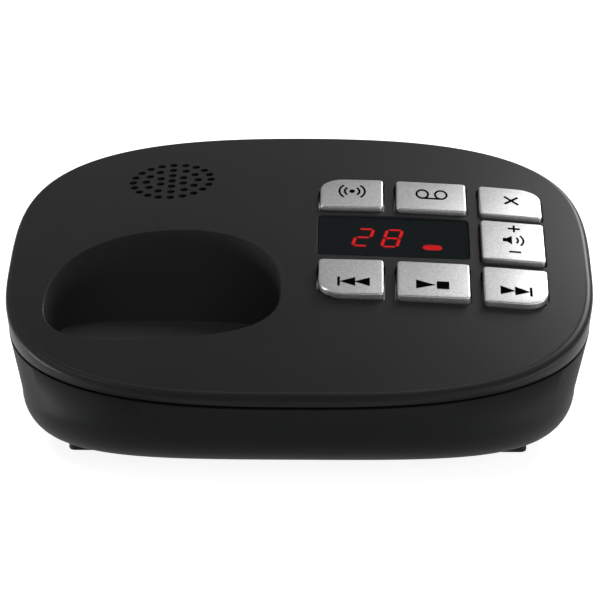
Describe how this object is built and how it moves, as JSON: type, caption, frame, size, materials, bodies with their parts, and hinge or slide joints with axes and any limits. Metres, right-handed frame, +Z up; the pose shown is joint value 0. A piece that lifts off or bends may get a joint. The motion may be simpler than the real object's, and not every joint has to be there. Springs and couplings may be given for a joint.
{
  "type": "cordless telephone base",
  "caption": "Low wedge-shaped desk base for a cordless handset with answering machine: handset well, lit display, silver keys, volume rocker and speaker holes.",
  "frame": {"origin": "on the table, under the middle of the case's width and depth", "axes": "+X to the right seen from the front, +Y from the front edge to the back edge, +Z up"},
  "size_m": [0.132, 0.1164, 0.0516],
  "materials": {
    "cover_plastic": "fine matte moulding",
    "case_plastic": "fine matte moulding",
    "key_silver": "silver paint, satin",
    "smoked_window": "smoked, polished",
    "module_plastic": "moulded",
    "lit_red": "lit",
    "board_laminate": "solder resist",
    "key_rubber": "moulded",
    "screw_steel": "plated",
    "grille_cloth": "woven",
    "gasket_foam": "foam",
    "basket_steel": "plated",
    "cone_paper": "pressed",
    "magnet_ferrite": "ground",
    "lead_sleeve": "extruded",
    "contact_metal": "plated",
    "holder_plastic": "moulded",
    "tinned_steel": "tinned",
    "chip_resin": "moulded",
    "capacitor_sleeve": "sleeved can",
    "transformer_tape": "taped winding",
    "socket_plastic": "moulded",
    "link_film": "film",
    "foot_rubber": "moulded"
  },
  "bodies": {
    "base": {"top_cover": "cover_plastic", "lower_case": "case_plastic", "display_window": "smoked_window", "digit_module": "module_plastic", "lit_digits": "lit_red", "message_light": "lit_red", "front_board": "board_laminate", "key_mat": "key_rubber", "front_board_screws": "screw_steel", "grille_cloth": "grille_cloth", "speaker_gasket": "gasket_foam", "speaker_basket": "basket_steel", "speaker_cone": "cone_paper", "speaker_magnet": "magnet_ferrite", "speaker_lead": "lead_sleeve", "contact_holder": "holder_plastic", "main_board": "board_laminate", "shield_can": "tinned_steel", "processor": "chip_resin", "capacitors": "capacitor_sleeve", "line_transformer": "transformer_tape", "antennas": "tinned_steel", "power_inlet": "socket_plastic", "line_socket": "socket_plastic", "board_link": "link_film", "main_board_screws": "screw_steel", "rubber_feet": "foot_rubber", "case_screws": "screw_steel"},
    "locator_key": {"locator_key": "key_silver"},
    "answer_key": {"answer_key": "key_silver"},
    "erase_key": {"erase_key": "key_silver"},
    "volume_rocker": {"volume_rocker": "key_silver"},
    "rewind_key": {"rewind_key": "key_silver"},
    "play_stop_key": {"play_stop_key": "key_silver"},
    "forward_key": {"forward_key": "key_silver"},
    "left_contact": {"left_contact": "contact_metal"},
    "right_contact": {"right_contact": "contact_metal"}
  },
  "joints": [
    {"name": "locator_push", "type": "slide", "parent": "base", "child": "locator_key", "axis": [-0.0213, 0.2213, -0.975], "range_m": [0, 0.0007], "stiffness_N_per_m": 2000},
    {"name": "answer_push", "type": "slide", "parent": "base", "child": "answer_key", "axis": [-0.0548, 0.221, -0.9737], "range_m": [0, 0.0007], "stiffness_N_per_m": 2000},
    {"name": "erase_push", "type": "slide", "parent": "base", "child": "erase_key", "axis": [-0.0881, 0.2205, -0.9714], "range_m": [0, 0.0007], "stiffness_N_per_m": 2000},
    {"name": "rewind_push", "type": "slide", "parent": "base", "child": "rewind_key", "axis": [-0.0208, 0.2989, -0.9541], "range_m": [0, 0.0007], "stiffness_N_per_m": 2000},
    {"name": "play_stop_push", "type": "slide", "parent": "base", "child": "play_stop_key", "axis": [-0.0536, 0.2985, -0.9529], "range_m": [0, 0.0007], "stiffness_N_per_m": 2000},
    {"name": "forward_push", "type": "slide", "parent": "base", "child": "forward_key", "axis": [-0.0862, 0.2979, -0.9507], "range_m": [0, 0.0007], "stiffness_N_per_m": 2000},
    {"name": "volume_rock", "type": "hinge", "parent": "base", "child": "volume_rocker", "pos_m": [0.04798, 0.00427, 0.03528], "axis": [0.9962, 0.0227, -0.0842], "range_deg": [-4, 4], "stiffness_Nm_per_rad": 0.15},
    {"name": "left_contact_give", "type": "slide", "parent": "base", "child": "left_contact", "axis": [0, 0, -1], "range_m": [0, 0.0012], "stiffness_N_per_m": 800},
    {"name": "right_contact_give", "type": "slide", "parent": "base", "child": "right_contact", "axis": [0, 0, -1], "range_m": [0, 0.0012], "stiffness_N_per_m": 800}
  ]
}
